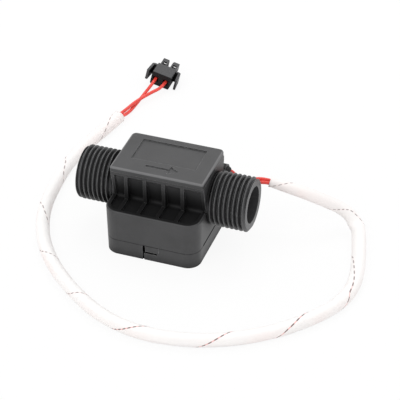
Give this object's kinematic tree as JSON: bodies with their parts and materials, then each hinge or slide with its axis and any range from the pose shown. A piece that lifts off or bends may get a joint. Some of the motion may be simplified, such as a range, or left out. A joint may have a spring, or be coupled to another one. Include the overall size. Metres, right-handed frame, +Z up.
{
  "type": "water flow sensor",
  "caption": "Inline paddle wheel flow sensor with two male threaded pipe ends, a ribbed moulded housing, a sleeved cable and a two way plug.",
  "frame": {"origin": "middle of the underside of the housing, on the surface that it stands on", "axes": "+X along the pipe in the direction of the flow, +Y to the rear where the cable leaves, +Z up"},
  "size_m": [0.1344, 0.1724, 0.034],
  "materials": {
    "housing_plastic": "fine satin moulded",
    "seal_rubber": "smooth",
    "screw_steel": "plain",
    "wheel_plastic": "moulded",
    "magnet": "sintered",
    "shaft_steel": "ground",
    "bush_plastic": "smooth",
    "board": "lacquered",
    "reed_glass": "clear",
    "wire_metal": "tinned",
    "grommet_rubber": "smooth",
    "lead_red": "smooth",
    "sleeve_fibre": "woven, soft",
    "plug_plastic": "moulded"
  },
  "bodies": {
    "housing": {"body": "housing_plastic", "top_cover": "housing_plastic", "bottom_cap": "housing_plastic", "wire_grommet": "grommet_rubber", "chamber_cover": "housing_plastic", "cover_seal": "seal_rubber", "cover_screws": "screw_steel", "lower_bush": "bush_plastic", "upper_bush": "bush_plastic", "sensor_board": "board", "reed_glass": "reed_glass", "reed_wire_in": "wire_metal", "reed_wire_out": "wire_metal", "sleeve": "sleeve_fibre", "lead_1": "lead_red", "lead_2": "lead_red", "connector_housing": "plug_plastic", "terminal_1": "wire_metal", "terminal_2": "wire_metal"},
    "rotor": {"rotor_wheel": "wheel_plastic", "rotor_magnet": "magnet", "rotor_shaft": "shaft_steel"}
  },
  "joints": [
    {"name": "rotor_spin", "type": "hinge", "parent": "housing", "child": "rotor", "pos_m": [0, 0, 0.0129], "axis": [0, 0, 1], "continuous": true}
  ]
}
